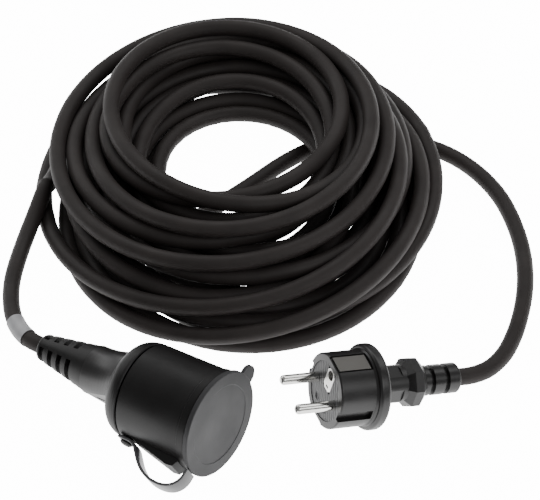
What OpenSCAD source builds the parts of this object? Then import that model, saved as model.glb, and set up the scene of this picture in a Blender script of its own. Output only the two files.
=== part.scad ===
// Earthed extension cord: a coupler with a strapped sealing cap, a coiled rubber cable and a moulded plug.
// Row frame: Z up, floor at Z = 0, origin under the middle of the coupler, +X the way the coupler's mouth
// points.
// Coupler and plug are each drawn along their own X axis and then laid down by at_coupler() and at_plug().

/* [Cable] */
// Outer diameter of the rubber cable
cable_d = 8.5; // [7.5:0.1:8.6]
// Outer diameter of one insulated core
core_d = 2.6; // [2.2:0.1:2.8]
// Outer diameter of the coil
coil_d = 210; // [200:1:214]
// Diameter of the open middle of the coil
coil_hole_d = 72; // [60:1:80]
// Height of the coil
coil_h = 38; // [26:1:40]

/* [Coupler] */
// Diameter of the barrel at its mouth
barrel_front_d = 49.6; // [49:0.1:50]
// Diameter of the barrel at its rear seam
barrel_rear_d = 47.6; // [47:0.1:48.4]
// Length of the barrel, mouth to seam
barrel_len = 40; // [40:0.5:41]
// Length of the domed shoulder behind the seam
shoulder_len = 10; // [9:0.5:11]
// Length of the neck between shoulder and boot
neck_len = 21; // [20:0.5:23]
// Diameter of the neck where it meets the shoulder
neck_front_d = 33; // [32:0.5:34]
// Diameter of the neck where it meets the boot
neck_rear_d = 24; // [23:0.5:25]
// Length of the ribbed cable boot
boot_len = 32; // [30:0.5:34]
// Diameter of the boot at its cable end
boot_end_d = 13.5; // [13:0.1:14]

/* [Socket] */
// Diameter of the recess that the plug goes into
well_d = 39.8; // [39.5:0.1:40]
// Depth of the recess
well_depth = 16.5; // [15:0.5:17]
// Diameter of each contact's bore
contact_bore_d = 5; // [4.9:0.05:5.2]
// Length of each contact tube
contact_len = 14; // [13:0.5:14]

/* [Cap] */
// Diameter of the sealing cap
cap_d = 51.6; // [51:0.1:52]
// Thickness of the cap's disc
cap_t = 2.4; // [2:0.1:3]
// Depth of the ring that plugs into the recess
spigot_len = 3; // [2:0.5:3]
// Width of the pull tab
tab_w = 10; // [8:0.5:12]
// Reach of the pull tab past the rim
tab_reach = 5.5; // [4:0.5:6]
// Width of the retaining strap
strap_w = 9; // [7:0.5:10]
// Thickness of the retaining strap
strap_t = 1.4; // [1:0.1:1.6]

/* [Plug] */
// Diameter of a contact pin
pin_d = 4.8; // [4.6:0.05:4.8]
// Distance between the two pins, and between the two socket contacts
pin_gap = 19; // [18.5:0.1:19.5]
// Length of a pin in front of the face
pin_len = 19; // [18:0.5:20]
// Diameter of the plug's body at the face
face_d = 36; // [35.6:0.1:37]
// Distance from the middle of the flange to the face
face_x = 22; // [21:0.5:24]
// Diameter of the finger flange
flange_d = 41; // [40:0.5:43]
// Thickness of the finger flange
flange_t = 6; // [5:0.5:6]
// Diameter of the earth hole's contact tube
earth_bore_d = 5; // [4.9:0.05:5.2]
// Offset of the earth hole from the pin line
earth_hole_z = 10; // [9.8:0.1:10]

/* [Placing] */
// Rise of the coupler's mouth above the level
coupler_tilt = 7.5; // [5:0.5:9]
// Turn of the coupler about its own axis, which lowers the strap side
coupler_roll = 22.5; // [20:0.5:25]
// Rise of the plug's pins above the level
plug_tilt = 15; // [13:0.5:16]
// Compass direction of the pins, counted from +X
plug_heading = 236; // [234:1:238]

/* [Hidden] */
$fn = 96;

gap = 0.1;              // clearance between nested turned pieces
cable_r = cable_d / 2;
cable_bore_r = cable_r + gap;
tube_sides = 12;
core_sides = 8;

coupler_pos = [48.5, 3.9, 29];
plug_pos = [89, 68, 20.2];
coil_pos = [-45.2, 151.2, 0];
coupler_axis = [cos(coupler_tilt), 0, sin(coupler_tilt)];
plug_axis = [cos(plug_tilt) * cos(plug_heading), cos(plug_tilt) * sin(plug_heading), sin(plug_tilt)];

// Stations along the coupler's axis, mouth plane at 0
seam_x = -barrel_len;
seam_w = 0.8;
shoulder_rear_x = seam_x - shoulder_len;
neck_rear_x = shoulder_rear_x - neck_len;
boot_rear_x = neck_rear_x - boot_len;
barrel_bore_r = 22.1;
insert_r = barrel_bore_r - gap;
well_r = well_d / 2;
floor_t = 3;
floor_rear_x = -well_depth - floor_t;
carrier_rear_x = -36.4;
carrier_r = 20.4;
contact_r = 3.4;
contact_front_x = floor_rear_x - gap;
contact_rear_x = contact_front_x - contact_len;
crimp_r = 2;
crimp_len = 7;
coupler_crimp_x = contact_rear_x - 3;
sheath_end_x = neck_rear_x + 7;
arm_half_w = 3;
arm_y = 18.7;
arm_t = 0.8;
earth_pocket_r = [17.6, 20.2];
earth_pocket_half_w = arm_half_w + 0.4;

// The boot's grooves
groove_w = 3;
boot_grooves = 4;
boot_groove_step = 6.2;
boot_groove_first = 9.5;
boot_web_angle = 36;

// The strap's middle line, as distance along the axis and distance from it
strap_line = [
    [1.4, 26.1], [1.3, 30], [0.2, 33.2], [-2.4, 35.9], [-6, 37.3], [-10, 37.6], [-14.5, 37], [-19, 35.2],
    [-23, 32.4], [-26.4, 29], [-29.2, 26.3], [-32, 25], [-35, 24.9], [-39, 24.9]
];
stud_x = -35.6;
stud_hole_r = 1.9;

// Stations along the plug's axis, middle of the flange at 0
bridge_rear_x = 9;
bridge_r = 14.3;
bridge_face_x = face_x - 0.3;
pin_root_r = pin_d / 2 - 0.3;
plug_cavity_r = bridge_r + gap;
plug_cavity_rear_x = -0.5;
plug_throat_r = 7.2;
earth_leg_x = 4.6;
earth_strip_z = 16.4;
earth_strip_t = 0.8;
earth_strip_half_w = 4.5;
earth_tube_r = 3.3;
waist_r = 9;
waist_rear_x = -18;
collar_r = 12.3;
grip_rear_x = -28;
plug_sheath_end_x = -23;
plug_boot_r = 7.3;
plug_boot_rear_x = -47.5;
plug_boot_grooves = [-32.2, -40];

// Route of the cable from the coupler to the coil, along the cable's middle
lead_coupler_route = [
    coupler_pos + sheath_end_x * coupler_axis, coupler_pos + (neck_rear_x - 8) * coupler_axis,
    coupler_pos + (boot_rear_x + 6) * coupler_axis, coupler_pos + (boot_rear_x - 1) * coupler_axis,
    [-62.5, 4.6, 14.1], [-71.7, 8, 12.4], [-81, 14.2, 10.8], [-89.8, 23, 9.7], [-97.5, 33.5, 9.3],
    [-104, 46, 9.8], [-109.8, 60, 11.3], [-115, 74.5, 14], [-120.7, 90.5, 17.5]
];
// Route of the stretch that lies across the open middle of the coil
lead_crossing_route = [
    [-53.2, 115, 4.3], [-50.2, 129, 4.3], [-46.2, 145, 4.3], [-42.7, 161, 4.3], [-39.7, 177, 4.3],
    [-36.7, 189, 4.3]
];
// Route from the coil to the plug
lead_plug_route = [
    [12.8, 236, 4.3], [25.8, 238, 4.3], [39.8, 237, 4.3], [53.8, 233, 4.3], [67.8, 226, 4.3],
    [80.8, 216, 4.3], [93, 204, 4.3], [103.5, 190.5, 4.3], [112, 176, 4.3], [118.5, 161, 4.3],
    [122.8, 147.3, 4.3], [125, 134.5, 4.4], [124, 122.6, 4.9], [119.9, 113.3, 6],
    plug_pos + (plug_boot_rear_x - 1) * plug_axis,
    plug_pos + (plug_boot_rear_x + 8) * plug_axis, plug_pos + plug_sheath_end_x * plug_axis
];
label_len = 13;
label_t = 0.4;
label_station = 5;

function unit(v) = v / norm(v);

// Points of an arc about a centre
function arc(centre, radius, from, to, steps = 8) = [
    for (i = [0 : steps]) let (a = from + (to - from) * i / steps) centre + radius * [cos(a), sin(a)]
];

// Direction of a route at one of its points
function heading(route, i) =
    unit(route[min(i + 1, len(route) - 1)] - route[max(i - 1, 0)]);
function sideways(t) = unit(cross([0, 0, 1], t));

// One ring of points about the route
function ring(centre, t, r, sides) = [
    for (k = [0 : sides - 1]) let (a = 360 * k / sides)
        centre + r * cos(a) * sideways(t) + r * sin(a) * cross(t, sideways(t))
];

// A round tube swept along a route
module swept(route, d, sides) {
    last = len(route) - 1;
    points = [for (i = [0 : last]) each ring(route[i], heading(route, i), d / 2, sides)];
    walls = [
        for (i = [0 : last - 1], k = [0 : sides - 1]) let (n = (k + 1) % sides)
            [i * sides + k, (i + 1) * sides + k, (i + 1) * sides + n, i * sides + n]
    ];
    start = [for (k = [0 : sides - 1]) k];
    end = [for (k = [sides - 1 : -1 : 0]) last * sides + k];
    polyhedron(points, concat([start], walls, [end]));
}

// A band of even thickness about a middle line, as a flat outline
function band(line, t) =
    let (last = len(line) - 1,
         normals = [
             for (i = [0 : last]) let (d = unit(line[min(i + 1, last)] - line[max(i - 1, 0)])) [-d.y, d.x]
         ])
    concat([for (i = [0 : last]) line[i] + normals[i] * t / 2],
           [for (i = [last : -1 : 0]) line[i] - normals[i] * t / 2]);

// A profile of [distance along X, radius] points turned about the X axis
module turned(profile) {
    rotate([0, 90, 0]) rotate_extrude() polygon([for (p = profile) [p.y, p.x]]);
}

// A cylinder along X from one station to another
module rod(x0, x1, r, y = 0, z = 0) {
    translate([x0, y, z]) rotate([0, 90, 0]) cylinder(h = x1 - x0, r = r);
}

// A block given by its two corners
module block(low, high) {
    translate(low) cube(high - low);
}

// The same thing twice, the second turned half round about the X axis
module both_sides() {
    for (turn = [0, 180])
        rotate([turn, 0, 0]) children();
}

// A ring cut about the X axis, left whole over two webs at the top and bottom
module webbed_groove(x, inner_r, outer_r) {
    for (side = [0, 180])
        rotate([0, 90, 0]) rotate([0, 0, side + boot_web_angle / 2])
            translate([0, 0, x]) rotate_extrude(angle = 180 - boot_web_angle)
                translate([inner_r, 0]) square([outer_r - inner_r, groove_w]);
}

module at_coupler() {
    translate(coupler_pos) rotate([0, -coupler_tilt, 0]) rotate([coupler_roll, 0, 0]) children();
}

module at_plug() {
    translate(plug_pos) rotate([0, 0, plug_heading]) rotate([0, -plug_tilt, 0]) children();
}

// ---- Coupler ----

// Rubber barrel with a rounded mouth, and a grooved wedge under the strap
module coupler_barrel() {
    front_r = barrel_front_d / 2;
    rear_r = barrel_rear_d / 2;
    lip = 0.9;
    wedge_half_w = 5.5;
    wedge = [[-33, 22.6], [-32, rear_r], [-9, 28.4], [-5.5, 28], [-4, 25], [-4, 22.6]];
    color([0.09, 0.09, 0.1]) at_coupler() difference() {
        union() {
            turned(concat(
                [[seam_x, 0], [seam_x, rear_r - 0.5], [seam_x + 0.5, rear_r], [-4.6, front_r - 0.5],
                 [-4.2, front_r]],
                arc([-lip, front_r - lip], lip, 90, 0),
                [[0, 0]]));
            translate([0, 0, -wedge_half_w]) linear_extrude(2 * wedge_half_w)
                polygon([for (p = wedge) [p.x, -p.y]]);
        }
        rod(seam_x - 1, 1, barrel_bore_r);
        // fine grip grooves along the wedge
        for (z = [-3.9 : 1.3 : 3.9])
            translate([-30, -28.6, z]) rotate([0, 0, 11.2]) block([0, -1, -0.25], [26, 0.75, 0.25]);
        // hole for the strap's stud
        translate([stud_x, -18, 0]) rotate([90, 0, 0]) cylinder(h = 10, r = stud_hole_r);
    }
}

// Domed rear cover, with a spigot that locates it in the barrel
module coupler_shoulder() {
    front = seam_x - seam_w;
    rim_r = barrel_rear_d / 2 - 0.1;
    root_r = neck_front_d / 2 + 0.7;
    depth = front - shoulder_rear_x;
    spigot_x = seam_x + 2;
    color([0.08, 0.08, 0.09]) at_coupler() turned(concat(
        [[spigot_x, 19.6], [spigot_x, insert_r], [front, insert_r], [front, rim_r - 0.4]],
        [for (i = [0 : 10]) let (a = 90 * i / 10)
            [front - 0.4 - (depth - 0.4) * sin(a), root_r + (rim_r - root_r) * cos(a)]],
        [[shoulder_rear_x, 12.6], [shoulder_rear_x + 3, 12.6]]));
}

// Flared neck that clamps the cable's sheath, with a thumb flat and a slit on the strap side
module coupler_neck() {
    front = shoulder_rear_x - 0.25;
    front_r = neck_front_d / 2;
    rear_r = neck_rear_d / 2;
    rear = neck_rear_x + gap;
    steps = 10;
    clamp_len = 5;
    flat_r = 11.8;
    slit_half_w = 0.8;
    color([0.13, 0.13, 0.14]) at_coupler() difference() {
        turned(concat(
            [for (i = [0 : steps]) let (s = i / steps)
                [front + (rear - front) * s, rear_r + (front_r - rear_r) * pow(1 - s, 2.2)]],
            [[rear, cable_bore_r], [rear + clamp_len, cable_bore_r], [rear + clamp_len + 3, 8],
             [front - 3, 8.6], [front + 2.5, 12], [front + 2.5, 12.4], [front, 12.4]]));
        // the flat starts level with the rubber at the rear and deepens to the front
        translate([0, 0, -13]) linear_extrude(26)
            polygon([[rear + 1, -front_r], [rear + 1, -flat_r - 0.3], [front, -flat_r], [front, -front_r - 2]]);
        block([neck_rear_x + 9, -flat_r - 2, -slit_half_w], [front - 1.5, -flat_r + 1.5, slit_half_w]);
    }
}

// Tapered boot with grooves left whole over two webs
module coupler_boot() {
    root_r = neck_rear_d / 2 - 0.3;
    end_r = boot_end_d / 2;
    edge = 2.2;
    front = neck_rear_x;
    color([0.07, 0.07, 0.075]) at_coupler() difference() {
        turned(concat(
            [[front, cable_bore_r], [front, root_r]],
            arc([boot_rear_x + edge, end_r - edge], edge, 90, 180),
            [[boot_rear_x, cable_bore_r]]));
        for (i = [0 : boot_grooves - 1])
            webbed_groove(front - boot_groove_first - i * boot_groove_step - groove_w / 2, 5, neck_rear_d / 2);
    }
}

// Pockets behind the liner's wall for the earth springs, which also notch the floor
module earth_pockets(rear) {
    half_w = earth_pocket_half_w;
    both_sides() block([rear, earth_pocket_r[0], -half_w], [-2, earth_pocket_r[1], half_w]);
}

// Insulating liner: the recess's wall in front, a skirt for the carrier behind
module coupler_insert() {
    front = -0.4;
    skirt_rear = carrier_rear_x - 0.6;
    guide_half_w = 2.3;
    guide_in = 2.2;
    color([0.16, 0.16, 0.17]) at_coupler() difference() {
        union() {
            turned([
                [front, insert_r], [front, well_r + 0.5], [front - 0.5, well_r], [floor_rear_x, well_r],
                [floor_rear_x, carrier_r + gap], [skirt_rear, carrier_r + gap], [skirt_rear, insert_r]
            ]);
            // guide ribs that fit the grooves in a plug's sides
            both_sides()
                block([gap - well_depth, -guide_half_w, well_r - guide_in], [-5, guide_half_w, well_r + 0.5]);
        }
        earth_pockets(floor_rear_x - 1);
    }
}

// Floor of the recess, with the two pin holes
module socket_floor() {
    color([0.15, 0.15, 0.16]) at_coupler() difference() {
        rod(floor_rear_x, -well_depth, well_r - 0.05);
        for (side = [-1, 1])
            rod(floor_rear_x - 1, -well_depth + 1, contact_bore_d / 2, 0, side * pin_gap / 2);
        earth_pockets(floor_rear_x - 1);
    }
}

// Insulating block that holds the two contact tubes behind the floor
module contact_carrier() {
    color([0.75, 0.73, 0.66]) at_coupler() difference() {
        rod(carrier_rear_x, floor_rear_x - gap, carrier_r);
        both_sides() {
            rod(carrier_rear_x - 1, floor_rear_x, contact_r + gap, 0, pin_gap / 2);
            block([carrier_rear_x - 1, arm_y - 0.8, -arm_half_w - 0.3], [floor_rear_x, 21, arm_half_w + 0.3]);
        }
    }
}

// Sprung contact tube with a crimp barrel, for one side of the pin line
module socket_contact(side) {
    crimp_front = contact_rear_x - 2;
    bore_end = contact_rear_x - 0.2;
    color([0.78, 0.64, 0.36]) at_coupler() translate([0, 0, side * pin_gap / 2]) turned([
        [contact_front_x, contact_bore_d / 2], [contact_front_x, contact_r], [contact_rear_x - 1, contact_r],
        [crimp_front, crimp_r], [crimp_front - crimp_len, crimp_r], [crimp_front - crimp_len, core_d / 2],
        [crimp_front, core_d / 2], [crimp_front, 0], [bore_end, 0], [bore_end, contact_bore_d / 2]
    ]);
}

module coupler_line_contact() {
    socket_contact(1);
}

module coupler_neutral_contact() {
    socket_contact(-1);
}

// Earth spring: two arms along the recess, joined behind the carrier
module coupler_earth_clip() {
    bar_x = carrier_rear_x - gap - arm_t;
    arm = [[bar_x, arm_y], [-19, arm_y], [-14, 18.9], [-10.5, 17.8], [-8, 17.3], [-5.5, 18], [-3.4, 19]];
    color([0.8, 0.8, 0.78]) at_coupler() difference() {
        union() {
            for (side = [-1, 1])
                translate([0, 0, -arm_half_w]) linear_extrude(2 * arm_half_w)
                    polygon([for (p = band(arm, arm_t)) [p.x, side * p.y]]);
            block([bar_x, -arm_y - arm_t / 2, -arm_half_w], [bar_x + arm_t, arm_y + arm_t / 2, arm_half_w]);
            rod(bar_x - 6, bar_x + 0.2, crimp_r);
        }
        rod(bar_x - 7, bar_x - 1, core_d / 2);
    }
}

// Insulated core from a crimp to the end of the cable's sheath
module coupler_core(from, to, tint) {
    bend = (from.x + to.x) / 2 - 1.5;
    route = [
        from, [from.x - 6.5, from.y, from.z], [bend, (from.y + to.y) / 2, (from.z + to.z) / 2],
        [to.x + 5, to.y, to.z * 1.1], to
    ];
    color(tint) at_coupler() swept(route, core_d - 0.02, core_sides);
}

module coupler_line_core() {
    coupler_core([coupler_crimp_x, 0, pin_gap / 2], [sheath_end_x + 0.1, 1.2, 1.9], [0.42, 0.25, 0.14]);
}

module coupler_neutral_core() {
    coupler_core([coupler_crimp_x, 0, -pin_gap / 2], [sheath_end_x + 0.1, 1.2, -1.9], [0.15, 0.35, 0.75]);
}

module coupler_earth_core() {
    coupler_core([carrier_rear_x - 2.2, 0, 0], [sheath_end_x + 0.1, -2.2, 0], [0.45, 0.65, 0.15]);
}

// ---- Sealing cap ----

// Flat rubber lid: disc, shallow ring that plugs the recess, and a pull tab
module sealing_cap() {
    back = 0.2;
    front = back + cap_t;
    r = cap_d / 2;
    edge = 0.7;
    spigot_r = well_r - 0.7;
    spigot_t = 1.6;
    tab_t = 1.7;
    panel_r = 19.2;
    color([0.2, 0.2, 0.205]) at_coupler() {
        turned(concat(
            [[back, 0], [back, spigot_r - spigot_t], [back - spigot_len, spigot_r - spigot_t],
             [back - spigot_len, spigot_r - 0.4], [back - spigot_len + 0.6, spigot_r], [back, spigot_r],
             [back, r - 0.3], [back + 0.3, r]],
            arc([front - edge, r - edge], edge, 90, 0),
            [[front, panel_r + 0.4], [front - 0.25, panel_r], [front - 0.25, 0]]));
        // the tab starts inside the disc's rim and ends in a half round
        translate([back + 0.4, 0, 0]) rotate([0, 90, 0]) linear_extrude(tab_t) {
            translate([-tab_w / 2, r - 3]) square([tab_w, 3 + tab_reach - tab_w / 2]);
            translate([0, r + tab_reach - tab_w / 2]) circle(d = tab_w);
        }
    }
}

// Flexible band from the cap's rim, looping out and back to the barrel
module cap_strap() {
    color([0.12, 0.12, 0.125]) at_coupler() difference() {
        translate([0, 0, -strap_w / 2]) linear_extrude(strap_w)
            polygon([for (p = band(strap_line, strap_t)) [p.x, -p.y]]);
        translate([stud_x, -20, 0]) rotate([90, 0, 0]) cylinder(h = 10, r = stud_hole_r);
    }
}

// Push-in stud that holds the strap's end to the barrel
module strap_stud() {
    head_low = 25.75;
    shank_low = barrel_bore_r + 0.05;
    head_r = 3.1;
    profile = [
        [0, shank_low], [1.5, shank_low], [stud_hole_r - gap, shank_low + 0.4], [stud_hole_r - gap, head_low],
        [head_r, head_low],
        [head_r, head_low + 0.6], [head_r - 1, head_low + 1.3], [0, head_low + 1.5]
    ];
    color([0.1, 0.1, 0.1]) at_coupler() translate([stud_x, 0, 0]) rotate([90, 0, 0])
        rotate_extrude() polygon(profile);
}

// ---- Plug ----

// Rubber body with earth recesses above and below, guide grooves at its sides, and a finger flange
module plug_body() {
    r = face_d / 2;
    fr = flange_d / 2;
    half = flange_t / 2;
    edge = 1.6;
    rear_edge = 2;
    recess_half_w = 5.4;
    recess_floor = earth_strip_z - 0.2;
    guide_half_w = 2.7;
    guide_floor = 15.7;
    color([0.08, 0.08, 0.085]) at_plug() difference() {
        turned(concat(
            [[face_x, 0]],
            arc([face_x - 0.8, r - 0.8], 0.8, 0, 90),
            [[half + 1, r], [half, r + 0.6]],
            arc([half - edge, fr - edge], edge, 0, 90),
            arc([-half + rear_edge, fr - rear_edge], rear_edge, 90, 180),
            [[-half, 0]]));
        rod(plug_cavity_rear_x, face_x + 1, plug_cavity_r);
        rod(-half - 1, face_x, plug_throat_r);
        both_sides() {
            // earth recess, the slot that lets the earth strip's leg through, and the guide groove
            block([half + 0.8, -recess_half_w, recess_floor], [face_x + 1, recess_half_w, 20]);
            block([earth_leg_x - 0.15, -earth_strip_half_w - 0.2, recess_floor - 3],
                  [earth_leg_x + earth_strip_t + 0.15, earth_strip_half_w + 0.2, recess_floor + 0.8]);
            block([half + 2, guide_floor, -guide_half_w], [face_x + 1, 20, guide_half_w]);
        }
    }
}

// Insulating block in the face, which carries the pins and the earth socket
module plug_bridge() {
    plate_half_w = 3.7;
    color([0.12, 0.12, 0.125]) at_plug() difference() {
        rod(bridge_rear_x, bridge_face_x, bridge_r);
        for (side = [-1, 1]) {
            rod(bridge_rear_x - 1, face_x, pin_root_r + 0.05, side * pin_gap / 2, 0);
            // shallow dished pockets beside the pins
            translate([bridge_face_x + 4.4, side * 4.6, -7.4]) sphere(r = 5);
        }
        rod(bridge_rear_x - 1, face_x, earth_tube_r + gap, 0, earth_hole_z);
        block([bridge_face_x - 0.9, -plate_half_w, 1], [face_x, plate_half_w, 13.1]);
    }
}

// Solid round pin with a rounded tip and a crimp barrel
module contact_pin(side) {
    r = pin_d / 2;
    tip_x = face_x + pin_len;
    tip = 1.7;
    step_x = bridge_face_x + 0.15;
    crimp_front = bridge_rear_x - gap - 1;
    crimp_rear = crimp_front - 3.5;
    color([0.8, 0.8, 0.78]) at_plug() translate([0, side * pin_gap / 2, 0]) turned(concat(
        [[tip_x, 0]],
        arc([tip_x - tip, r - tip], tip, 0, 90),
        [[step_x, r], [step_x, pin_root_r], [crimp_front, pin_root_r], [crimp_front, crimp_r],
         [crimp_rear, crimp_r], [crimp_rear, core_d / 2], [crimp_front, core_d / 2], [crimp_front, 0]]));
}

module line_pin() {
    contact_pin(1);
}

module neutral_pin() {
    contact_pin(-1);
}

// Earth strip: a leg across the body behind the bridge, bent forward along the two recesses
module plug_earth_clips() {
    half_w = earth_strip_half_w;
    outer = earth_strip_z + earth_strip_t;
    color([0.76, 0.76, 0.74]) at_plug() difference() {
        union() {
            block([earth_leg_x, -half_w, -outer], [earth_leg_x + earth_strip_t, half_w, outer]);
            both_sides() block([earth_leg_x, -half_w, earth_strip_z], [face_x - 1, half_w, outer]);
            rod(0, earth_leg_x + 0.2, crimp_r);
        }
        rod(-1, earth_leg_x - 0.6, core_d / 2);
    }
}

// Earth socket for a pin in the mating outlet: a tube behind a flat plate in the face
module plug_earth_socket() {
    half_w = 3.5;
    low = 1.2;
    high = 12.9;
    plate_t = 0.8;
    plate_x = bridge_face_x - plate_t;
    tube_rear = earth_leg_x + earth_strip_t;
    corner = 1.6;
    plate_outline = [
        [-half_w, low + corner], [-half_w + corner, low], [half_w - corner, low], [half_w, low + corner],
        [half_w, high - corner], [half_w - corner, high], [-half_w + corner, high], [-half_w, high - corner]
    ];
    color([0.84, 0.84, 0.82]) at_plug() difference() {
        union() {
            translate([plate_x, 0, 0]) rotate([0, 90, 0]) linear_extrude(plate_t)
                polygon([for (q = plate_outline) [-q.y, q.x]]);
            rod(tube_rear, bridge_face_x - 0.2, earth_tube_r, 0, earth_hole_z);
        }
        rod(tube_rear + 1, face_x, earth_bore_d / 2, 0, earth_hole_z);
        // small locating slot near the plate's lower end
        block([plate_x - 1, -1.1, 2.4], [face_x, 1.1, 3.6]);
    }
}

// Insulated core from a crimp to the end of the cable's sheath, round the throat's middle
module plug_core(from, crimp_end, to, tint) {
    route = [
        from, [crimp_end, from.y, 0], [crimp_end - 2, from.y * 0.82, 0],
        [crimp_end - 4.7, from.y * 0.52 + to.y * 0.1, to.z * 0.4],
        [crimp_end - 8, from.y * 0.24 + to.y * 0.7, to.z * 0.7], [crimp_end - 12, to.y * 1.1, to.z * 0.9],
        [to.x + 6, to.y, to.z], to
    ];
    color(tint) at_plug() swept(route, core_d - 0.02, core_sides);
}

module plug_line_core() {
    plug_core([7, pin_gap / 2, 0], 4, [plug_sheath_end_x + 0.1, 1.9, 1.2], [0.42, 0.25, 0.14]);
}

module plug_neutral_core() {
    plug_core([7, -pin_gap / 2, 0], 4, [plug_sheath_end_x + 0.1, -1.9, 1.2], [0.15, 0.35, 0.75]);
}

module plug_earth_core() {
    plug_core([2, 0, 0], -0.3, [plug_sheath_end_x + 0.1, 0, -2.2], [0.45, 0.65, 0.15]);
}

// Waist with flat panels, and the angular collar that the fingers pull on
module plug_grip() {
    front = -flange_t / 2 - gap;
    flats = 8;
    panel = 7.6;
    color([0.1, 0.1, 0.105]) at_plug() difference() {
        union() {
            turned([[front, 0], [front, waist_r + 1.2], [front - 1.5, waist_r], [waist_rear_x, waist_r],
                    [waist_rear_x, 0]]);
            hull() for (s = [[-17.6, 9.2], [-20.6, collar_r], [-24.6, collar_r], [grip_rear_x, 8.6]])
                translate([s.x, 0, 0]) rotate([0, -90, 0]) rotate([0, 0, 22.5])
                    cylinder(h = 0.1, r = s.y, $fn = flats);
        }
        rod(-22, front + 1, plug_throat_r);
        rod(grip_rear_x - 1, -21, cable_bore_r);
        // flat panels pressed into the waist, on the pin line's two sides and above and below
        for (turn = [0 : 90 : 270])
            rotate([turn, 0, 0]) block([-15.5, -4.6, panel + 0.6], [-6, 4.6, 12]);
    }
}

// Short boot with two grooves
module plug_boot() {
    front = grip_rear_x - gap;
    edge = 1.2;
    floor_r = 5.4;
    color([0.07, 0.07, 0.075]) at_plug() difference() {
        turned(concat(
            [[front, cable_bore_r], [front, plug_boot_r]],
            arc([plug_boot_rear_x + edge, plug_boot_r - edge], edge, 90, 180),
            [[plug_boot_rear_x, cable_bore_r]]));
        for (x = plug_boot_grooves)
            turned([[x - 1.2, floor_r], [x - 1.2, 9], [x + 1.2, 9], [x + 1.2, floor_r]]);
    }
}

// ---- Cable ----

// Outer shape of the coil
module cable_coil() {
    outer = coil_d / 2;
    inner = coil_hole_d / 2;
    edge = 7;
    color([0.1, 0.1, 0.105]) translate(coil_pos) rotate_extrude() polygon(concat(
        [[inner, 0], [outer, 0]],
        arc([outer - edge, coil_h - edge], edge, 0, 90),
        arc([inner + edge, coil_h - edge], edge, 90, 180)));
}

module cable_lead_coupler() {
    color([0.1, 0.1, 0.105]) swept(lead_coupler_route, cable_d, tube_sides);
}

module cable_lead_crossing() {
    color([0.1, 0.1, 0.105]) swept(lead_crossing_route, cable_d, tube_sides);
}

module cable_lead_plug() {
    color([0.1, 0.1, 0.105]) swept(lead_plug_route, cable_d, tube_sides);
}

// Plain wrapped label on the lead behind the coupler
module cable_label() {
    t = heading(lead_coupler_route, label_station);
    inner = cable_r + 0.8;
    color([0.8, 0.8, 0.8]) translate(lead_coupler_route[label_station])
        rotate([0, 90 - asin(t.z), atan2(t.y, t.x)]) translate([0, 0, -label_len / 2]) difference() {
            cylinder(h = label_len, r = inner + label_t);
            translate([0, 0, -1]) cylinder(h = label_len + 2, r = inner);
        }
}

coupler_barrel();
coupler_shoulder();
coupler_neck();
coupler_boot();
coupler_insert();
socket_floor();
contact_carrier();
coupler_line_contact();
coupler_neutral_contact();
coupler_earth_clip();
coupler_line_core();
coupler_neutral_core();
coupler_earth_core();
sealing_cap();
cap_strap();
strap_stud();
plug_body();
plug_bridge();
line_pin();
neutral_pin();
plug_earth_clips();
plug_earth_socket();
plug_line_core();
plug_neutral_core();
plug_earth_core();
plug_grip();
plug_boot();
cable_coil();
cable_lead_coupler();
cable_lead_crossing();
cable_lead_plug();
cable_label();
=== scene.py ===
import math

import bmesh
import bpy
import numpy as np
from mathutils import Matrix, Vector, kdtree


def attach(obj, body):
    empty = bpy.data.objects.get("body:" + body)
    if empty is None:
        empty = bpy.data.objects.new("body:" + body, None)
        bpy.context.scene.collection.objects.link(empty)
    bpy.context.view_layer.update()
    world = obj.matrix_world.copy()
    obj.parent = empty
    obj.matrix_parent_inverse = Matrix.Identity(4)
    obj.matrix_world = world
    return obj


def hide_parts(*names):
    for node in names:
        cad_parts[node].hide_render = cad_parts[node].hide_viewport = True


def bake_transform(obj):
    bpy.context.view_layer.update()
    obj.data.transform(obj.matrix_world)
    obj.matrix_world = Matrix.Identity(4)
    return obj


bl_info = {
    "name": "Extension cord",
    "version": (1, 0, 0),
    "blender": (4, 2, 0),
    "location": "View3D > Sidebar > Extension cord",
    "description": "Builds a coiled extension cord with its plug, coupler and sealing cap",
    "category": "Add Mesh",
}

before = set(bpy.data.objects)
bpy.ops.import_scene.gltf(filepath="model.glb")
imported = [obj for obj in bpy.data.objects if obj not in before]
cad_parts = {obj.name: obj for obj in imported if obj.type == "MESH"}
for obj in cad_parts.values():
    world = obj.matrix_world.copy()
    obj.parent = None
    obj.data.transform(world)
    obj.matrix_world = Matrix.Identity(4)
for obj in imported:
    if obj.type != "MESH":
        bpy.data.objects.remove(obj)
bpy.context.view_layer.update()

MM = 0.001

# Where the coupler, the plug and the coil are, in millimetres in the row frame
COUPLER_POS = Vector((48.5, 3.9, 29.0))
PLUG_POS = Vector((89.0, 68.0, 20.2))
COIL_POS = Vector((-45.2, 151.2, 0.0))
COUPLER_TILT = 7.5
COUPLER_ROLL = 22.5
PLUG_TILT = 15.0
PLUG_HEADING = 236.0

COUPLER_SHEATH_END = -64.0
COUPLER_BOOT_END = -103.0
PLUG_SHEATH_END = -23.0
PLUG_BOOT_END = -47.5
# Places on each fitting's axis that the cable runs through inside it
IN_PLUG = (PLUG_SHEATH_END, -32.0, -41.0, PLUG_BOOT_END - 1.0)
IN_COUPLER = (COUPLER_BOOT_END - 1.0, -90.0, -77.0, COUPLER_SHEATH_END)

STRAP_W = 9.0
STRAP_T = 1.4
STRAP_EDGE = 0.45
STRAP_STEP = 0.8

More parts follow.
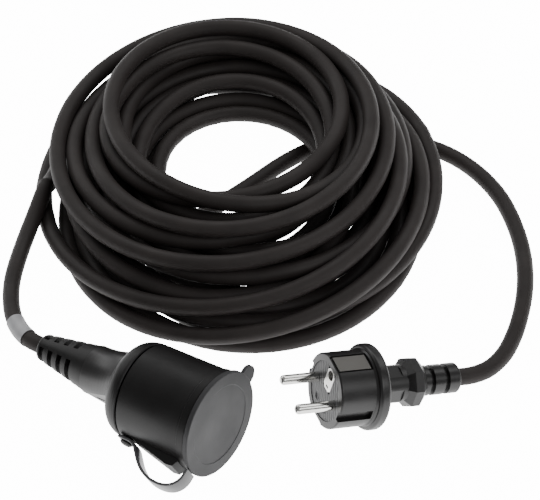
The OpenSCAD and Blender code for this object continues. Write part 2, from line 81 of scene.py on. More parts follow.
# The strap's middle line in the coupler's own frame, from the cap's rim to the stud
STRAP_LINE = [
    (1.4, -26.1), (1.3, -30.0), (0.2, -33.2), (-2.4, -35.9), (-6, -37.3), (-10, -37.6), (-14.5, -37.0),
    (-19, -35.2), (-23, -32.4), (-26.4, -29.0), (-29.2, -26.3), (-32, -25.0), (-35, -24.9), (-39, -24.9),
]

# A slanting direction, along which no two points of a piece lie level
ORDER_ALONG = Vector((0.61, 0.27, 0.745))

# The label: how far round it goes in degrees, and its sizes in millimetres
LABEL_ROUND = 398
LABEL_STEPS = 44
LABEL_T = 0.15
LABEL_LAP = 0.3
LABEL_OFF_SHEATH = 0.16
LABEL_STEP = 1.2
# The share of the way round at which the label starts to rise over its own start
LABEL_RISES_FROM = 0.6
# The label's place, in points of the cable past the boot's end, and its length in points
LABEL_FIRST = 3
LABEL_POINTS = 5

# Sizes in metres: half the floor's side, how far back and below the object it lies, and the camera's reach
FLOOR_HALF = 2.5
FLOOR_BACK = 0.1
FLOOR_DROP = 0.0003
CLIP_NEAR = 0.05
CLIP_FAR = 20.0
SENSOR_WIDTH = 36.0
WORLD_STRENGTH = 0.27

# How bright the floor is to the camera, in reflections, and as a light
FLOOR_SEEN = 14.0
FLOOR_IN_GLOSS = 1.8
FLOOR_GLOW = 0.3
# Lamps: name, azimuth, elevation, distance (m), width and height (m), power (W)
LIGHTS = (
    ("right", 80, 40, 1.1, 0.8, 0.5, 2.6),
    ("left", -100, 30, 1.1, 0.9, 0.4, 2.6),
    ("back", 190, 52, 1.2, 1.4, 0.5, 4.2),
)

# Free stretches of the cable, in millimetres, from the plug towards the coupler
PLUG_LEAD = [
    (119.9, 113.3, 6.0), (124, 122.6, 4.9), (125, 134.5, 4.4), (122.8, 147.3, 4.25), (118.5, 161, 4.25),
    (112, 176, 4.25), (103.5, 190.5, 4.25), (93, 204, 4.25), (80.8, 216, 4.25), (67.8, 226, 4.25),
    (53.8, 233, 4.25), (39.8, 237, 4.25), (25.8, 238, 4.25), (12.8, 236, 4.25), (-0.2, 232, 4.25),
    (-12.2, 225, 4.25), (-22.7, 215.5, 4.25), (-30.7, 203.5, 4.25), (-36.2, 190.5, 4.25), (-39.7, 177, 4.25),
    (-42.7, 161, 4.25), (-46.2, 145, 4.25), (-50.2, 129, 4.25), (-53.2, 115, 4.25), (-53.7, 102.5, 4.25),
    (-51.2, 90.5, 4.25), (-45.7, 80, 4.25), (-37.2, 72, 4.25), (-27.2, 67, 4.25),
]
COUPLER_LEAD = [
    (-130.7, 123.5, 22.5), (-126.2, 107.5, 20.5), (-120.7, 90.5, 17.5), (-115, 74.5, 14), (-109.8, 60, 11.3),
    (-104, 46, 9.8), (-97.5, 33.5, 9.3), (-89.8, 23, 9.7), (-81, 14.2, 10.8), (-71.7, 8, 12.4),
    (-62.5, 4.6, 14.1),
]

# Each turn of the coil, from the first laid to the last: its radius, and how far it lies to the right and
# away as the camera sees it, in millimetres
TURNS = [
    (90, 0, 0), (80, 2, -2), (60, 3, -3), (98, 2, -4), (72, 4, -2), (47, 0, 0), (62, 5, -4), (90, 3, -5),
    (99, 0, -2), (80, 4, -4), (56, 0, 4), (43, -2, 2), (66, 6, 8), (86, 2, 4), (96, -2, 4), (72, -6, 10),
    (56, -4, 14), (60, -8, 22), (66, 4, 20), (74, -10, 14), (84, -6, 4), (91, 0, 0),
]
# The coil is a little longer away from the camera than across
COIL_OVAL = 3.5
COIL_OVAL_HEADING = 125.0

# How the turns are laid, in degrees: where the first starts, how far the last falls short of a full turn, the
# angle between points, and which way right is
FIRST_HEADING = 291
LAST_TURN_SHORT_BY = 103
LAID_EVERY = 4
RIGHT_HEADING = 35
# How many laid points a turn's drift is averaged over
DRIFT_WINDOW = 45
# How far a turn may stray off centre and out of round, in millimetres
OFF_CENTRE = 3.0
OUT_OF_ROUND = 2.5
# Heights of the line at the start, after one turn and at the end, in millimetres
LAID_HEIGHTS = (4.25, 5.0, 22.5)
# A turn's usual length, in millimetres
TURN_LENGTH = 440.0
# The share of the coupler's lead over which it comes down from the last turn
LEAD_COMES_DOWN = 0.75

# How the cable settles. It falls fast, then slower, then hardly at all: each pace holds up to a share of the
# rounds, and is in millimetres a round
FAST_FALL = 0.4
SLOW_FALL = 0.15
LAST_FALL = 0.05
FAST_UNTIL = 0.62
SLOW_UNTIL = 0.86
# How fast the highest held point comes down, in millimetres a round
HELD_FALL = 0.4
QUICK_ROUNDS = 12
# Points nearer than this along the cable, in diameters, don't touch each other
SKIP_ALONG = 1.9
# How often the near pairs are found again, and how far past touching they are looked for, in millimetres
PAIRS_EVERY = 6
PAIRS_REACH = 3.5
# Each round puts stretch, bending and contact right this many times, by these shares of what is wrong
PASSES = 8
BEND_SPANS = (2, 5, 9)
BEND_GAIN = 0.6
STRETCH_GAIN = 0.9
CONTACT_GAIN = 1.5
CONTACT_SHARE = 0.45
# How strongly the cable is drawn back to where it was laid, as seen from above
HOME_PULL = 0.05


def as_array(points):
    """A list of points as rows of numbers."""
    return np.array([list(p) for p in points], dtype=float)


def coupler_matrix():
    """Where the coupler's own frame stands in the row frame, in metres."""
    turn = Matrix.Rotation(math.radians(-COUPLER_TILT), 4, "Y") @ Matrix.Rotation(
        math.radians(COUPLER_ROLL), 4, "X"
    )
    return Matrix.Translation(COUPLER_POS * MM) @ turn


def plug_matrix():
    """Where the plug's own frame stands in the row frame, in metres."""
    turn = Matrix.Rotation(math.radians(PLUG_HEADING), 4, "Z") @ Matrix.Rotation(
        math.radians(-PLUG_TILT), 4, "Y"
    )
    return Matrix.Translation(PLUG_POS * MM) @ turn


def on_axis(matrix, x):
    """A point on a fitting's own axis, in millimetres in the row frame."""
    return matrix @ Vector((x * MM, 0, 0)) / MM


def seen_from(azimuth, elevation):
    """The direction from the aim point towards a camera or a lamp, given in degrees."""
    az, el = math.radians(azimuth), math.radians(elevation)
    return Vector((math.sin(az) * math.cos(el), -math.cos(az) * math.cos(el), math.sin(el)))


# ---- Settings ----


class CordSettings(bpy.types.PropertyGroup):
    cable_d: bpy.props.FloatProperty(
        name="Cable diameter (mm)", description="Outside diameter of the sheath", default=8.5,
        min=7.5, max=8.6,
    )
    cable_sides: bpy.props.IntProperty(
        name="Cable smoothness", description="Facets round a quarter of the cable", default=6, min=2, max=10
    )
    step: bpy.props.FloatProperty(
        name="Laying step (mm)", description="Distance between points along the cable", default=3.8,
        min=2.5, max=8.0,
    )
    lift: bpy.props.FloatProperty(
        name="Drop height per turn (mm)", description="How far each turn starts above the one before",
        default=5.0, min=1.0, max=9.0,
    )
    rounds: bpy.props.IntProperty(
        name="Settling rounds", description="How long the cable is left to settle", default=560,
        min=10, max=900,
    )
    seed: bpy.props.IntProperty(
        name="Variation", description="Picks how the turns drift", default=4, min=0, max=999
    )


class StageSettings(bpy.types.PropertyGroup):
    azimuth: bpy.props.FloatProperty(
        name="Camera azimuth", description="Degrees round from the front", default=35.0
    )
    elevation: bpy.props.FloatProperty(
        name="Camera elevation", description="Degrees above the floor", default=46.0
    )
    distance: bpy.props.FloatProperty(
        name="Camera distance (mm)", description="From the aim point to the camera", default=1200.0
    )
    lens: bpy.props.FloatProperty(
        name="Lens (mm)", description="Focal length of the camera", default=160.0
    )
    aim: bpy.props.FloatVectorProperty(
        name="Aim (mm)", description="The point the camera looks at", size=3, default=(-4.7, 123.0, 10.0)
    )


class LookSettings(bpy.types.PropertyGroup):
    housing: bpy.props.FloatVectorProperty(
        name="Housing colour", description="Moulded rubber of the coupler and the plug",
        subtype="COLOR", size=3, min=0, max=1, default=(0.0065, 0.006, 0.006),
    )
    cable: bpy.props.FloatVectorProperty(
        name="Cable colour", description="Rubber sheath of the cable",
        subtype="COLOR", size=3, min=0, max=1, default=(0.029, 0.0242, 0.0228),
    )
    # The cap's colour is lighter than the housing's: painted sheen of its face, which turns to the light. The
    # pale patches laid over it are dust.
    cap: bpy.props.FloatVectorProperty(
        name="Cap colour", description="Dusty rubber of the sealing cap",
        subtype="COLOR", size=3, min=0, max=1, default=(0.036, 0.036, 0.038),
    )
    housing_rough: bpy.props.FloatProperty(
        name="Housing roughness", description="How dull the housings are", default=0.4, min=0, max=1
    )
    cable_rough: bpy.props.FloatProperty(
        name="Cable roughness", description="How dull the cable's sheath is", default=0.58, min=0, max=1
    )


# ---- Materials ----


def new_material(name, color, rough, metallic=0.0, specular=0.5, coat=0.0):
    """A plain finish, ready for relief and patches."""
    mat = bpy.data.materials.new(name)
    mat.use_nodes = True
    shader = next(n for n in mat.node_tree.nodes if n.type == "BSDF_PRINCIPLED")
    shader.inputs["Base Color"].default_value = (*color, 1.0)
    shader.inputs["Roughness"].default_value = rough
    shader.inputs["Metallic"].default_value = metallic
    shader.inputs["Specular IOR Level"].default_value = specular
    shader.inputs["Coat Weight"].default_value = coat
    return mat


def add_node(mat, kind, inputs=None, **settings):
    """Adds a node; an input is a number, or the socket that feeds it."""
    node = mat.node_tree.nodes.new(kind)
    for name, value in settings.items():
        setattr(node, name, value)
    for name, value in (inputs or {}).items():
        if isinstance(value, bpy.types.NodeSocket):
            mat.node_tree.links.new(value, node.inputs[name])
        else:
            node.inputs[name].default_value = value
    return node


def feed(mat, name, socket):
    """Joins a socket to the named input of the finish."""
    shader = next(n for n in mat.node_tree.nodes if n.type == "BSDF_PRINCIPLED")
    mat.node_tree.links.new(socket, shader.inputs[name])


def object_noise(mat, scale, detail):
    coord = add_node(mat, "ShaderNodeTexCoord").outputs["Object"]
    noise = add_node(mat, "ShaderNodeTexNoise", {"Vector": coord, "Scale": scale, "Detail": detail})
    return noise.outputs["Fac"]


def spread(mat, value, low, high):
    """A noise value stretched over low to high."""
    node = add_node(
        mat, "ShaderNodeMapRange",
        {"Value": value, "From Min": 0.3, "From Max": 0.7, "To Min": low, "To Max": high},
    )
    return node.outputs["Result"]


def grain(mat, scale, strength, depth):
    """Fine relief of a moulded or extruded surface."""
    height = object_noise(mat, scale, 3.0)
    bump = add_node(mat, "ShaderNodeBump", {"Height": height, "Strength": strength, "Distance": depth})
    feed(mat, "Normal", bump.outputs["Normal"])


def patchy_gloss(mat, scale, rough, span):
    """Handling leaves some places duller than others."""
    feed(mat, "Roughness", spread(mat, object_noise(mat, scale, 4.0), rough - span / 2, rough + span / 2))


def dusty(mat, color, dust, scale, detail=5.0):
    """Pale bloom in soft patches."""
    amount = spread(mat, object_noise(mat, scale, detail), 0.0, 1.0)
    mix = add_node(mat, "ShaderNodeMix", {"Factor": amount}, data_type="RGBA")
    mix.inputs["A"].default_value = (*color, 1.0)
    mix.inputs["B"].default_value = (*dust, 1.0)
    feed(mat, "Base Color", mix.outputs["Result"])


def rubber(name, color, rough, dust, specular=0.5, coat=0.0):
    """Moulded or extruded rubber with fine grain, handled patches and pale bloom."""
    mat = new_material(name, color, rough, specular=specular, coat=coat)
    grain(mat, 950.0, 0.12, 0.2 * MM)
    patchy_gloss(mat, 45.0, rough, 0.14)
    dusty(mat, color, dust, 60.0)
    return mat


def scaled(color, factor):
    """A lighter or darker shade of a colour."""
    return tuple(factor * c for c in color)


def striped_core():
    """Green insulation with yellow stripes along it."""
    mat = new_material("core_green_yellow", (0.05, 0.3, 0.04), 0.4)
    coord = add_node(mat, "ShaderNodeTexCoord").outputs["Object"]
    wave = add_node(mat, "ShaderNodeTexWave", {"Vector": coord, "Scale": 190.0}, bands_direction="Z")
    ramp = add_node(mat, "ShaderNodeValToRGB", {"Fac": wave.outputs["Fac"]})
    ramp.color_ramp.interpolation = "CONSTANT"
    ramp.color_ramp.elements[0].color = (0.04, 0.28, 0.04, 1.0)
    ramp.color_ramp.elements[1].position = 0.55
    ramp.color_ramp.elements[1].color = (0.75, 0.62, 0.02, 1.0)
    feed(mat, "Base Color", ramp.outputs["Color"])
    return mat


def moulded_face():
    """The plug's face: paler plastic with fine slanting tool marks."""
    mat = new_material("moulded_face", (0.05, 0.05, 0.052), 0.4)
    coord = add_node(mat, "ShaderNodeTexCoord").outputs["Object"]
    turned = add_node(mat, "ShaderNodeMapping", {"Vector": coord, "Rotation": (0.5, 0.35, 0.2)})
    marks = add_node(
        mat, "ShaderNodeTexWave",
        {"Vector": turned.outputs["Vector"], "Scale": 170.0, "Distortion": 5.0, "Detail": 2.0},
    )
    ramp = add_node(mat, "ShaderNodeValToRGB", {"Fac": marks.outputs["Fac"]})
    ramp.color_ramp.elements[0].color = (0.022, 0.022, 0.023, 1.0)
    ramp.color_ramp.elements[1].position = 0.35
    ramp.color_ramp.elements[1].color = (0.085, 0.085, 0.088, 1.0)
    feed(mat, "Base Color", ramp.outputs["Color"])
    bump = add_node(
        mat, "ShaderNodeBump", {"Height": marks.outputs["Fac"], "Strength": 0.35, "Distance": 0.3 * MM}
    )
    feed(mat, "Normal", bump.outputs["Normal"])
    return mat


def metal(name, color, rough, brushed=300.0):
    """Metal with a faint grain and handled patches."""
    mat = new_material(name, color, rough, metallic=1.0)
    grain(mat, brushed, 0.03, 0.1 * MM)
    patchy_gloss(mat, 120.0, rough, 0.08)
    return mat


def plastic(name, color, rough):
    """Hard plastic with a faint grain."""
    mat = new_material(name, color, rough)
    grain(mat, 700.0, 0.08, 0.1 * MM)
    dusty(mat, color, scaled(color, 1.25), 80.0)
    return mat


def label_paper():
    """Grey-white paper, a little worn."""
    mat = new_material("label_paper", (0.5, 0.5, 0.52), 0.42)
    grain(mat, 260.0, 0.12, 0.3 * MM)
    dusty(mat, (0.46, 0.46, 0.48), (0.62, 0.62, 0.63), 140.0)
    return mat


def finish_nodes(finishes):
    """Gives each named CAD node its material."""
    for mat, names in finishes:
        for name in names:
            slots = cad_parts[name].data.materials
            slots.clear()
            slots.append(mat)


# ---- Cable ----


def smooth_line(points, step):
    """Even points along a smooth line through the given ones."""
    pts = as_array(points)
    pts = np.vstack([2 * pts[0] - pts[1], pts, 2 * pts[-1] - pts[-2]])
    dense = []
    for i in range(1, len(pts) - 2):
        a, b, c, d = pts[i - 1 : i + 3]
        square = 2 * a - 5 * b + 4 * c - d
        cube = 3 * b - a - 3 * c + d
        for t in np.linspace(0, 1, 24, endpoint=False):
            dense.append(0.5 * (2 * b + (c - a) * t + square * t**2 + cube * t**3))
    dense.append(pts[-2])
    return even_points(np.array(dense), step)


def even_points(line, step):
    """The same line with its points one step apart."""
    gaps = np.linalg.norm(np.diff(line, axis=0), axis=1)
    along = np.concatenate([[0], np.cumsum(gaps)])
    count = max(2, int(round(along[-1] / step)) + 1)
    at = np.linspace(0, along[-1], count)
    return np.column_stack([np.interp(at, along, line[:, k]) for k in range(3)])


def laid_turns(settings):
    """The coil's turns before they settle: each higher than the last, drifting in and out."""
    rng = np.random.default_rng(settings.seed)
    plan = np.array(TURNS, dtype=float)
    turns = len(plan) - 1
    start = math.radians(FIRST_HEADING)
    end = math.radians(FIRST_HEADING + 360 * turns - LAST_TURN_SHORT_BY)
    count = int((end - start) / math.radians(LAID_EVERY))
    theta = np.linspace(start, end, count)
    k = (theta - start) / (2 * math.pi)

    def drifting(values):
        line = np.pad(np.interp(k, np.arange(len(values)), values), DRIFT_WINDOW // 2, mode="edge")
        return np.convolve(line, np.ones(DRIFT_WINDOW) / DRIFT_WINDOW, mode="valid")

    radius = drifting(plan[:, 0])
    # each turn is a little off centre and out of round
    stray = rng.uniform(-OFF_CENTRE, OFF_CENTRE, (len(plan), 2))
    off = plan[:, 1:] + stray * (plan[:, 1:2] != 0)
    right, away = drifting(off[:, 0]), drifting(off[:, 1])
    facing = math.radians(RIGHT_HEADING)
    ox = right * math.cos(facing) - away * math.sin(facing)
    oy = right * math.sin(facing) + away * math.cos(facing)
    oval = drifting(rng.uniform(-OUT_OF_ROUND, OUT_OF_ROUND, len(plan)))
    r = radius + oval * np.cos(2 * theta + k)
    r = r + COIL_OVAL * np.cos(2 * (theta - math.radians(COIL_OVAL_HEADING)))
    x = COIL_POS.x + ox + r * np.cos(theta)
    y = COIL_POS.y + oy + r * np.sin(theta)
    z = np.interp(k, [0, 1, k[-1]], LAID_HEIGHTS)
    return np.column_stack([x, y, z])


def settle(points, raised, fixed, settings, quick):
    """Drops the cable on the floor and on itself: stretch, bending and contact are put right in turn.

    Known fault: the first two turns pass through the held lead where they cross it.
    """
    laid = points.copy()
    laid[:, 2] += raised
    p = laid.copy()
    n = len(p)
    d = settings.cable_d
    free = (~fixed).astype(float)
    rest = np.linalg.norm(np.diff(points, axis=0), axis=1).mean()
    rounds = QUICK_ROUNDS if quick else settings.rounds
    skip = int(math.ceil(SKIP_ALONG * d / rest))
    pairs_i = pairs_j = np.zeros(0, dtype=int)
    for it in range(rounds):
        ending = it > rounds * SLOW_UNTIL
        fall = LAST_FALL if ending else (FAST_FALL if it < rounds * FAST_UNTIL else SLOW_FALL)
        p[:, 2] -= fall * free
        # the held ends come down with the rest
        left = max(0.0, 1.0 - HELD_FALL * it / raised.max())
        p[fixed, 2] = points[fixed, 2] + raised[fixed] * left
        if it % PAIRS_EVERY == 0:
            tree = kdtree.KDTree(n)
            for i, q in enumerate(p):
                tree.insert(q, i)
            tree.balance()
            ii, jj = [], []
            for i, q in enumerate(p):
                for _, j, _ in tree.find_range(q, d + PAIRS_REACH):
                    if j - i > skip:
                        ii.append(i)
                        jj.append(j)
            pairs_i, pairs_j = np.array(ii, dtype=int), np.array(jj, dtype=int)
        for _ in range(PASSES):
            # stiffness: the bend changes slowly along the cable
            for h in BEND_SPANS:
                u = p - laid
                before, here, after = u[h : n - 3 * h], u[2 * h : n - 2 * h], u[3 * h : n - h]
                bend = np.zeros_like(p)
                bend[2 * h : n - 2 * h] = -(
                    u[: n - 4 * h] - 4 * before + 6 * here - 4 * after + u[4 * h :]
                ) / 16
                p += BEND_GAIN * bend * free[:, None]
            # stretch
            for start in (0, 1):
                a, b = p[start:-1:2], p[start + 1 :: 2]
                m = min(len(a), len(b))
                a, b = a[:m], b[:m]
                fa, fb = free[start:-1:2][:m], free[start + 1 :: 2][:m]
                gap = b - a
                length = np.linalg.norm(gap, axis=1)
                total = np.maximum(fa + fb, 1e-9)
                move = gap * ((length - rest) / np.maximum(length, 1e-9))[:, None] * STRETCH_GAIN
                a += move * (fa / total)[:, None]
                b -= move * (fb / total)[:, None]
            # contact between turns
            if len(pairs_i):
                gap = p[pairs_j] - p[pairs_i]
                length = np.maximum(np.linalg.norm(gap, axis=1), 1e-6)
                near = length < d
                if near.any():
                    i, j = pairs_i[near], pairs_j[near]
                    push = gap[near] / length[near][:, None] * ((d - length[near]) * 0.5)[:, None]
                    hits = np.bincount(i, minlength=n) + np.bincount(j, minlength=n)
                    scale = 1.0 / np.maximum(1.0, hits * CONTACT_SHARE)
                    for c in range(3):
                        shift = np.bincount(j, push[:, c], n) - np.bincount(i, push[:, c], n)
                        p[:, c] += shift * scale * free * CONTACT_GAIN
            p[:, 2] = np.maximum(p[:, 2], d / 2)
        p[:, :2] += (0.0 if ending else HOME_PULL) * (laid[:, :2] - p[:, :2]) * free[:, None]
    return p


def cable_line(settings, quick):
    """The whole cable's centre line, in millimetres, from the plug's sheath end to the coupler's."""
    plug, coupler = plug_matrix(), coupler_matrix()
    start = [on_axis(plug, x) for x in IN_PLUG]
    end = [on_axis(coupler, x) for x in IN_COUPLER]
    step = settings.step
    lead = smooth_line(start + PLUG_LEAD, step)
    tail = smooth_line(COUPLER_LEAD + end, step)
    turns = laid_turns(settings)
    # a short bridge at each end lets the turns run smoothly into the leads
    into = smooth_line([lead[-4], lead[-1], turns[2], turns[4]], step)[1:-1]
    out = smooth_line([turns[-3], turns[-1], tail[0], tail[3]], step)[1:]
    whole = np.vstack([lead[:-3], into, turns[5:-3], out, tail[4:]])
    whole = even_points(whole, step)
    gap_lead = len(lead) - 6
    gap_tail = len(tail) - 10
    fixed = np.zeros(len(whole), dtype=bool)
    fixed[:gap_lead] = True
    fixed[-gap_tail:] = True
    # each turn starts above the one before, and the coupler's lead comes down from the last
    raised = np.zeros(len(whole))
    loose = np.arange(len(whole)) - gap_lead
    loose_points = len(whole) - gap_lead - gap_tail
    top = settings.lift * loose_points * step / TURN_LENGTH
    raised[gap_lead:] = loose[gap_lead:] * step * settings.lift / TURN_LENGTH
    along = np.clip(np.arange(gap_tail) / (LEAD_COMES_DOWN * gap_tail), 0, 1)
    raised[-gap_tail:] = top * 0.5 * (1 + np.cos(math.pi * along))
    return settle(whole, raised, fixed, settings, quick)


def curve_object(name, points, radius, sides, mat):
    """A round cord along the given points."""
    curve = bpy.data.curves.new(name, "CURVE")
    curve.dimensions = "3D"
    curve.bevel_depth = radius
    curve.bevel_resolution = sides
    curve.use_fill_caps = True
    spline = curve.splines.new("POLY")
    spline.points.add(len(points) - 1)
    spline.points.foreach_set("co", np.column_stack([points, np.ones(len(points))]).ravel())
    spline.use_smooth = True
    obj = bpy.data.objects.new(name, curve)
    bpy.context.scene.collection.objects.link(obj)
    curve.materials.append(mat)
    return obj


def steady_order(bm):
    """Orders points, edges and faces by where they are, so that each run makes the same mesh."""
    bm.verts.sort(key=lambda v: v.co.dot(ORDER_ALONG))
    bm.edges.sort(key=lambda e: (e.verts[0].co + e.verts[1].co).dot(ORDER_ALONG))
    bm.faces.sort(key=lambda f: f.calc_center_median().dot(ORDER_ALONG))


def mesh_object(name, bm, mat):
    """Puts a finished bmesh in the scene, smooth but for its sharp edges."""
    bmesh.ops.recalc_face_normals(bm, faces=bm.faces)
    steady_order(bm)
    mesh = bpy.data.meshes.new(name)
    bm.to_mesh(mesh)
    bm.free()
    mesh.shade_smooth()
    mesh.set_sharp_from_angle(angle=math.radians(50))
    obj = bpy.data.objects.new(name, mesh)
    bpy.context.scene.collection.objects.link(obj)
    mesh.materials.append(mat)
    return obj


def places_along(line, side):
    """The place at each point of a line, with X along it and Z kept as near as it can be to side."""
    line = [Vector(p) for p in line]
    places = []
    for i, p in enumerate(line):
        x = (line[min(i + 1, len(line) - 1)] - line[max(i - 1, 0)]).normalized()
        y = side.cross(x).normalized()
        side = x.cross(y)
        places.append(Matrix.Translation(p) @ Matrix((x, y, side)).transposed().to_4x4())
    return places


def sweep(bm, places):
    """Draws the edges of a flat outline along a path, and gives back the last ones."""
    bmesh.ops.transform(bm, matrix=places[0], verts=bm.verts)
    ring = list(bm.edges)
    for here, there in zip(places, places[1:]):
        made = bmesh.ops.extrude_edge_only(bm, edges=ring)["geom"]
        verts = {g for g in made if isinstance(g, bmesh.types.BMVert)}
        ring = [g for g in made if isinstance(g, bmesh.types.BMEdge) and set(g.verts) <= verts]
        bmesh.ops.transform(bm, matrix=there @ here.inverted(), verts=list(verts))
    return ring


def wrapped_label(line, radius, mat):
    """A paper label wrapped round the cable, with its end lapped over its start."""
    bm = bmesh.new()
    start = bm.verts.new((0, 0, radius))
    bmesh.ops.spin(
        bm, geom=[start], cent=(0, 0, 0), axis=(1, 0, 0), angle=math.radians(LABEL_ROUND), steps=LABEL_STEPS
    )
    bm.verts.ensure_lookup_table()
    lap = LABEL_LAP * MM
    for v in bm.verts:
        v.co *= 1 + lap / radius * max(0.0, v.index / len(bm.verts) - LABEL_RISES_FROM)
    sweep(bm, places_along(line, Vector((0, 0, 1))))
    steady_order(bm)
    bmesh.ops.solidify(bm, geom=list(bm.faces), thickness=LABEL_T * MM)
    return mesh_object("wrapped_label", bm, mat)


def strap_band(mat):
    """The cap's strap: a flat band with rounded edges along its middle line."""
    bm = bmesh.new()
    bmesh.ops.create_grid(bm, x_segments=1, y_segments=1, size=0.5)
    bmesh.ops.scale(bm, verts=bm.verts, vec=(STRAP_W * MM, STRAP_T * MM, 1))
    bmesh.ops.bevel(
        bm, geom=list(bm.verts), offset=STRAP_EDGE * MM, affect="VERTICES", segments=3, profile=0.5,
        material=-1,
    )
    # the outline stands across the path: its width along Z, its thickness along Y
    bmesh.ops.rotate(bm, verts=bm.verts, matrix=Matrix.Rotation(math.radians(90), 3, "Y"))
    line = smooth_line([(x, y, 0.0) for x, y in STRAP_LINE], STRAP_STEP) * MM
    places = [coupler_matrix() @ place for place in places_along(line, Vector((0, 0, 1)))]
    bmesh.ops.edgeloop_fill(bm, edges=sweep(bm, places))
    return mesh_object("strap_band", bm, mat)


# ---- Operators ----


class CORD_OT_stage(bpy.types.Operator):
    """Sets the camera, the white floor and the soft lights"""

    bl_idname = "cord.stage"
    bl_label = "Stage"

    def execute(self, context):
        s = context.scene.cord_stage
        scene = context.scene
        aim = Vector(s.aim) * MM
        back = seen_from(s.azimuth, s.elevation)
        data = bpy.data.cameras.new("camera")
        data.lens = s.lens
        data.sensor_width = SENSOR_WIDTH
        data.clip_start = CLIP_NEAR
        data.clip_end = CLIP_FAR
        camera = bpy.data.objects.new("camera", data)
        camera.location = aim + back * s.distance * MM
        camera.rotation_euler = back.to_track_quat("Z", "Y").to_euler()
        scene.collection.objects.link(camera)
        scene.camera = camera

        world = bpy.data.worlds.new("world")
        world.use_nodes = True
        background = next(n for n in world.node_tree.nodes if n.type == "BACKGROUND")
        background.inputs["Color"].default_value = (1.0, 1.0, 1.0, 1.0)
        background.inputs["Strength"].default_value = WORLD_STRENGTH
        scene.world = world

        mesh = bpy.data.meshes.new("floor")
        bm = bmesh.new()
        bmesh.ops.create_grid(bm, x_segments=1, y_segments=1, size=FLOOR_HALF)
        bmesh.ops.translate(bm, verts=bm.verts, vec=(0, FLOOR_BACK, -FLOOR_DROP))
        bm.to_mesh(mesh)
        bm.free()
        floor = bpy.data.objects.new("floor", mesh)
        scene.collection.objects.link(floor)
        mesh.materials.append(self.white())

        for light in LIGHTS:
            self.area(aim, *light)
        return {"FINISHED"}

    def white(self):
        """Plain white where the camera sees it, and a softer light from below on the cord."""
        mat = new_material("floor_white", (0.9, 0.9, 0.9), 0.9, specular=0.0)
        path = add_node(mat, "ShaderNodeLightPath").outputs
        glow = {0: path["Is Glossy Ray"], 1: FLOOR_IN_GLOSS, 2: FLOOR_GLOW}
        glossy = add_node(mat, "ShaderNodeMath", glow, operation="MULTIPLY_ADD").outputs["Value"]
        seen = {0: path["Is Camera Ray"], 1: FLOOR_SEEN, 2: glossy}
        strength = add_node(mat, "ShaderNodeMath", seen, operation="MULTIPLY_ADD").outputs["Value"]
        feed(mat, "Emission Strength", strength)
        shader = next(n for n in mat.node_tree.nodes if n.type == "BSDF_PRINCIPLED")
        shader.inputs["Emission Color"].default_value = (1.0, 1.0, 1.0, 1.0)
        return mat

    def area(self, aim, name, azimuth, elevation, distance, width, height, power):
        """A soft rectangular lamp that faces the aim point."""
        back = seen_from(azimuth, elevation)
        light = bpy.data.lights.new(name, "AREA")
        light.shape = "RECTANGLE"
        light.size = width
        light.size_y = height
        light.energy = power
        obj = bpy.data.objects.new(name, light)
        obj.location = aim + back * distance
        obj.rotation_euler = back.to_track_quat("Z", "Y").to_euler()
        bpy.context.scene.collection.objects.link(obj)


class CORD_OT_cable(bpy.types.Operator):
    """Lays and settles the whole cable as one line, with the label wrapped round it"""

    bl_idname = "cord.cable"
    bl_label = "Cable"

    def execute(self, context):
        s, look = context.scene.cord_cable, context.scene.cord_look
        radius = s.cable_d / 2 * MM
        line = cable_line(s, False)[::-1] * MM

        # the label lies on the lead, a little behind the boot
        boot_end = np.array(on_axis(coupler_matrix(), COUPLER_BOOT_END)) * MM
        first = int(np.argmin(np.linalg.norm(line[:60] - boot_end, axis=1))) + LABEL_FIRST
        stretch = even_points(line[first : first + LABEL_POINTS], LABEL_STEP * MM)
        label = wrapped_label(stretch, radius + LABEL_OFF_SHEATH * MM, label_paper())
        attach(label, "cord_set")
        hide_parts("cable_label")

        sheath = rubber("cable_rubber", look.cable, look.cable_rough, scaled(look.cable, 1.4), specular=0.32)
        cable = curve_object("cable", line, radius, s.cable_sides, sheath)
        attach(cable, "cord_set")
        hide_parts("cable_coil", "cable_lead_coupler", "cable_lead_crossing", "cable_lead_plug")
        return {"FINISHED"}


class CORD_OT_coupler(bpy.types.Operator):
    """Gives the coupler, its socket and its cap their finishes"""

    bl_idname = "cord.coupler"
    bl_label = "Coupler"

    def execute(self, context):
        look = context.scene.cord_look
        shell = rubber("coupler_rubber", look.housing, look.housing_rough, scaled(look.housing, 1.4), 0.3)
        neck_rough = look.housing_rough - 0.06
        # The neck's colour is 1.9 times the housing's: painted highlight of its upper side, which faces the
        # lamp on the left.
        neck = rubber("neck_rubber", scaled(look.housing, 1.9), neck_rough, scaled(look.housing, 2.4), 0.6)
        # The cap gets the lighter cap colour: painted sheen of its face, which turns to the light; its pale
        # patches are dust.
        cap = rubber("cap_rubber", look.cap, 0.55, scaled(look.cap, 1.3), 0.45)
        finish_nodes([
            (shell, ("coupler_barrel", "coupler_shoulder", "coupler_boot", "strap_stud")),
            (neck, ("coupler_neck",)),
            (cap, ("sealing_cap",)),
            (plastic("insulator", (0.014, 0.014, 0.015), 0.42), ("coupler_insert", "socket_floor")),
            (plastic("carrier_plastic", (0.6, 0.57, 0.47), 0.5), ("contact_carrier",)),
            (
                metal("contact_brass", (0.7, 0.5, 0.2), 0.3),
                ("coupler_line_contact", "coupler_neutral_contact"),
            ),
            (metal("spring_metal", (0.62, 0.61, 0.58), 0.3), ("coupler_earth_clip",)),
            (plastic("core_brown", (0.12, 0.05, 0.02), 0.4), ("coupler_line_core", "plug_line_core")),
            (plastic("core_blue", (0.02, 0.1, 0.4), 0.4), ("coupler_neutral_core", "plug_neutral_core")),
            (striped_core(), ("coupler_earth_core", "plug_earth_core")),
        ])
        return {"FINISHED"}


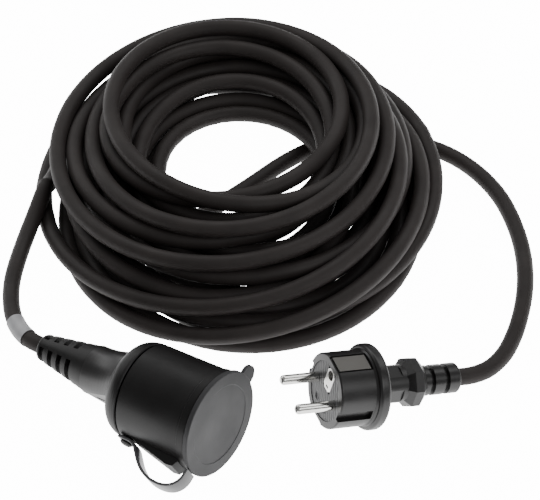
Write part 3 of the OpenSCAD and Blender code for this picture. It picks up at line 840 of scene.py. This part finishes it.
class CORD_OT_strap(bpy.types.Operator):
    """Makes the strap that holds the cap, which bends beside the cap's rim"""

    bl_idname = "cord.strap"
    bl_label = "Strap"

    def execute(self, context):
        look = context.scene.cord_look
        # The strap is black rubber, but its colour is 2.2 times the cap's: painted reflection of the white
        # floor, which it meets at a grazing angle.
        band = rubber("strap_rubber", scaled(look.cap, 2.2), 0.32, scaled(look.cap, 2.8), 0.6, 0.5)
        strap = strap_band(band)
        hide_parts("cap_strap")
        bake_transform(strap)
        return {"FINISHED"}


class CORD_OT_plug(bpy.types.Operator):
    """Gives the plug, its pins and its earth contacts their finishes"""

    bl_idname = "cord.plug"
    bl_label = "Plug"

    def execute(self, context):
        look = context.scene.cord_look
        body_rough = look.housing_rough - 0.06
        body = rubber("plug_rubber", scaled(look.housing, 1.1), body_rough, scaled(look.housing, 1.6), 0.6)
        nickel = metal("nickel", (0.86, 0.85, 0.82), 0.13)
        finish_nodes([
            (body, ("plug_body", "plug_grip", "plug_boot")),
            (moulded_face(), ("plug_bridge",)),
            (nickel, ("line_pin", "neutral_pin")),
            (metal("earth_plate", (0.86, 0.85, 0.83), 0.34), ("plug_earth_socket",)),
            # The earth clips get a dark metal colour: painted shade, for the dark they reflect in their
            # recess.
            (metal("earth_strip", (0.17, 0.165, 0.155), 0.36), ("plug_earth_clips",)),
        ])
        return {"FINISHED"}


class CORD_PT_panel(bpy.types.Panel):
    bl_label = "Extension cord"
    bl_idname = "CORD_PT_panel"
    bl_space_type = "VIEW_3D"
    bl_region_type = "UI"
    bl_category = "Extension cord"

    def draw(self, context):
        layout = self.layout
        for group in (context.scene.cord_cable, context.scene.cord_stage, context.scene.cord_look):
            box = layout.box()
            for name in group.__annotations__:
                box.prop(group, name)
        for operator in OPERATORS:
            layout.operator(operator.bl_idname)


OPERATORS = (CORD_OT_stage, CORD_OT_cable, CORD_OT_coupler, CORD_OT_strap, CORD_OT_plug)
CLASSES = (CordSettings, StageSettings, LookSettings, *OPERATORS, CORD_PT_panel)


def register():
    for cls in CLASSES:
        bpy.utils.register_class(cls)
    bpy.types.Scene.cord_cable = bpy.props.PointerProperty(type=CordSettings)
    bpy.types.Scene.cord_stage = bpy.props.PointerProperty(type=StageSettings)
    bpy.types.Scene.cord_look = bpy.props.PointerProperty(type=LookSettings)


def unregister():
    del bpy.types.Scene.cord_look
    del bpy.types.Scene.cord_stage
    del bpy.types.Scene.cord_cable
    for cls in reversed(CLASSES):
        bpy.utils.unregister_class(cls)


def main():
    register()
    bpy.ops.cord.stage()
    bpy.ops.cord.cable()
    bpy.ops.cord.coupler()
    bpy.ops.cord.strap()
    bpy.ops.cord.plug()


if __name__ == "__main__":
    main()
